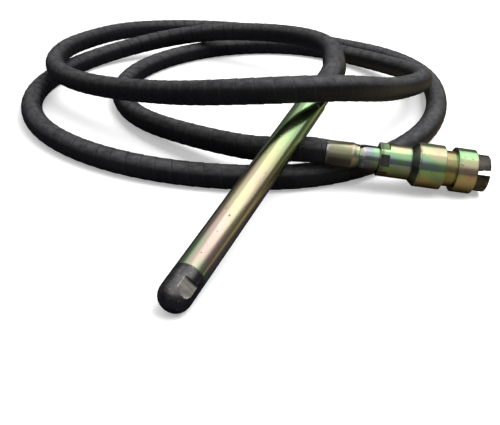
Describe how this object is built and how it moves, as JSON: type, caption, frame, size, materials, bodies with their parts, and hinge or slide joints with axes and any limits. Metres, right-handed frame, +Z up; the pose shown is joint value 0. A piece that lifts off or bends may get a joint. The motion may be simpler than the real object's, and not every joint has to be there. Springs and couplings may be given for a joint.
{
  "type": "flexible shaft concrete vibrator",
  "caption": "Round steel poker head with a domed nose, joined by a long coiled rubber drive hose to a stepped plated coupling with a slotted drive dog.",
  "frame": {"origin": "bottom centre of the box around the two rigid ends (poker head and motor coupling), on the floor that they lie on", "axes": "+Z up; +Y away from the poker's nose towards the coil; +X towards the coupling's drive dog"},
  "size_m": [0.7848, 1.1243, 0.1672],
  "materials": {
    "yellow_zinc_plate": "yellow chromate zinc plate, semi-gloss, with faint green and pink bands",
    "dark_steel": "oiled dark steel, satin",
    "worn_steel": "worn brown-black steel",
    "bright_steel": "ground bright steel",
    "hose_rubber": "black cloth-wrapped rubber, matt with a slight sheen",
    "seal_rubber": "black nitrile rubber"
  },
  "bodies": {
    "shell": {"head_tube": "yellow_zinc_plate", "head_connector": "yellow_zinc_plate", "head_ferrule": "yellow_zinc_plate", "coupling_ferrule": "yellow_zinc_plate", "coupling_stem": "yellow_zinc_plate", "coupling_nut": "yellow_zinc_plate", "coupling_body": "yellow_zinc_plate", "nose_cap": "dark_steel", "nose_seal": "seal_rubber", "connector_seal": "seal_rubber", "head_oil_seal": "seal_rubber", "stem_seal": "seal_rubber", "coupling_dust_seal": "seal_rubber", "front_spacer": "bright_steel", "front_retaining_ring": "bright_steel", "rear_retaining_ring": "bright_steel", "coupling_spacer": "bright_steel", "coupling_retaining_ring": "bright_steel", "front_bearing_outer_race": "bright_steel", "rear_bearing_outer_race": "bright_steel", "first_coupling_bearing_outer_race": "bright_steel", "second_coupling_bearing_outer_race": "bright_steel", "hose": "hose_rubber"},
    "rotor": {"eccentric_rotor": "dark_steel", "rotor_socket": "bright_steel", "core_head_end": "bright_steel", "front_bearing_inner_race": "bright_steel", "rear_bearing_inner_race": "bright_steel"},
    "head_cages": {"front_bearing_caged_balls": "bright_steel", "rear_bearing_caged_balls": "bright_steel"},
    "drive": {"drive_spindle": "bright_steel", "drive_dog": "worn_steel", "dog_screw": "bright_steel", "core_drive_end": "bright_steel", "first_coupling_bearing_inner_race": "bright_steel", "second_coupling_bearing_inner_race": "bright_steel"},
    "coupling_cages": {"first_coupling_bearing_caged_balls": "bright_steel", "second_coupling_bearing_caged_balls": "bright_steel"}
  },
  "joints": [
    {"name": "drive_spin", "type": "hinge", "parent": "shell", "child": "drive", "pos_m": [0.12703, 0.10715, 0.03986], "axis": [0.9907, -0.0621, -0.1213], "continuous": true},
    {"name": "rotor_spin", "type": "hinge", "parent": "shell", "child": "rotor", "pos_m": [-0.16988, -0.11559, 0.0355], "axis": [0.4374, 0.8687, 0.2326], "continuous": true},
    {"name": "head_cage_spin", "type": "hinge", "parent": "shell", "child": "head_cages", "pos_m": [-0.16988, -0.11559, 0.0355], "axis": [0.4374, 0.8687, 0.2326], "continuous": true},
    {"name": "coupling_cage_spin", "type": "hinge", "parent": "shell", "child": "coupling_cages", "pos_m": [0.12703, 0.10715, 0.03986], "axis": [0.9907, -0.0621, -0.1213], "continuous": true}
  ],
  "couplings": [
    {"joint": "rotor_spin", "follows": "drive_spin", "ratio": 1},
    {"joint": "head_cage_spin", "follows": "drive_spin", "ratio": 0.38},
    {"joint": "coupling_cage_spin", "follows": "drive_spin", "ratio": 0.398}
  ]
}
